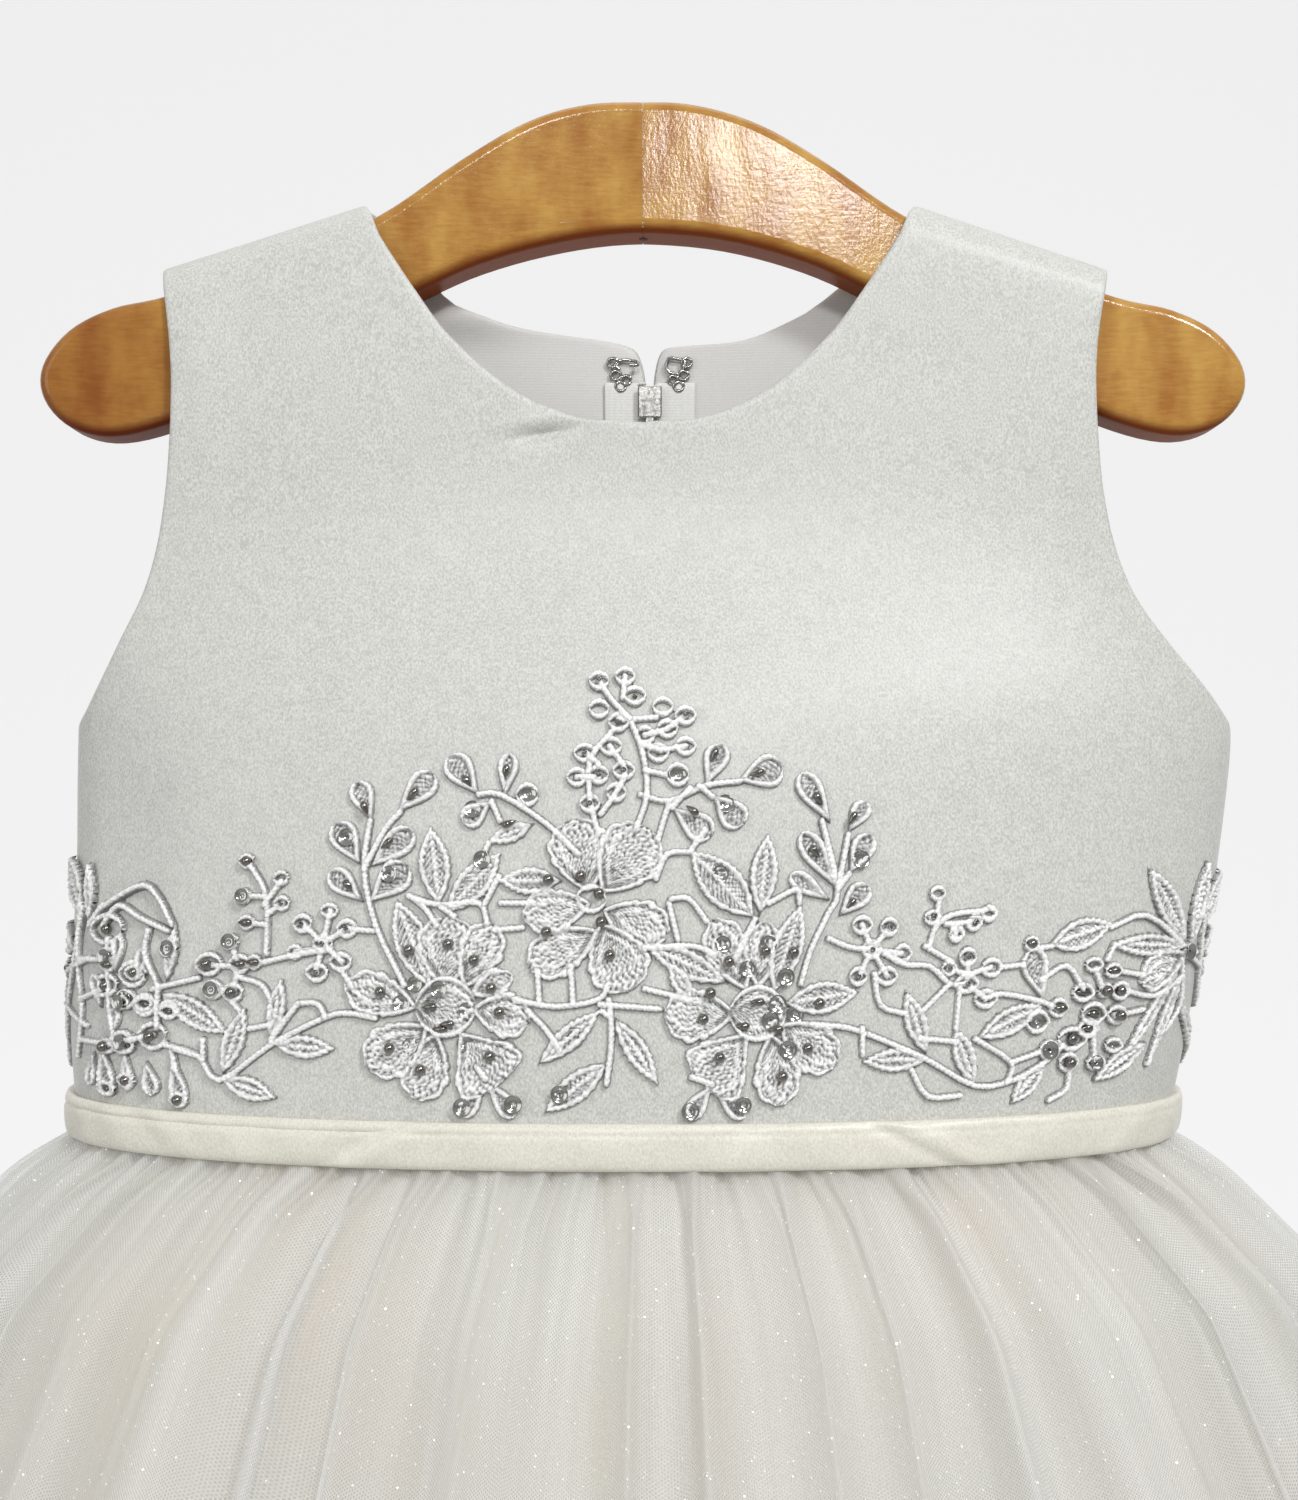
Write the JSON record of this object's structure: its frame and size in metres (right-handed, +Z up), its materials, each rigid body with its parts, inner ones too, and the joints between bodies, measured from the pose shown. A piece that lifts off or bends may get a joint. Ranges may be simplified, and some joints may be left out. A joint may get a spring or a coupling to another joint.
{
  "type": "lace dress on a hanger",
  "caption": "Child's sleeveless satin dress with beaded corded lace above a narrow waistband and a gathered tulle skirt, hung on a two-piece wooden hanger.",
  "frame": {"origin": "top of the hanger's middle, in its middle plane, where the hanger is held", "axes": "+Z up, the front of the dress facing -Y, +X to the right of a viewer who faces the front"},
  "size_m": [0.5918, 0.2934, 0.6902],
  "materials": {
    "bridal_satin": "duchess satin with a soft sheen",
    "glitter_tulle": "fine tulle with glitter, see-through in life",
    "skirt_lining_satin": "ivory satin lining",
    "corded_lace": "corded lace with pearls, sequins and drop beads",
    "lacquered_wood": "honey lacquer",
    "zip_nylon": "woven nylon tape and coil",
    "nickel_plated": "nickel plate"
  },
  "bodies": {
    "garment": {"hanger_arm_left": "lacquered_wood", "hanger_arm_right": "lacquered_wood", "bodice_front": "bridal_satin", "bodice_back_left": "bridal_satin", "bodice_back_right": "bridal_satin", "waistband": "bridal_satin", "skirt_tulle": "glitter_tulle", "underskirt": "skirt_lining_satin", "lace_applique": "corded_lace", "zip_side_left": "zip_nylon", "zip_side_right": "zip_nylon", "zip_slider": "nickel_plated", "neck_hook": "nickel_plated", "neck_eye": "nickel_plated"},
    "zip_tab": {"zip_tab": "nickel_plated"}
  },
  "joints": [
    {"name": "zip_tab_hinge", "type": "hinge", "parent": "garment", "child": "zip_tab", "pos_m": [0.0017, 0.0126, -0.0734], "axis": [1, 0, 0], "range_deg": [0, 150]}
  ]
}
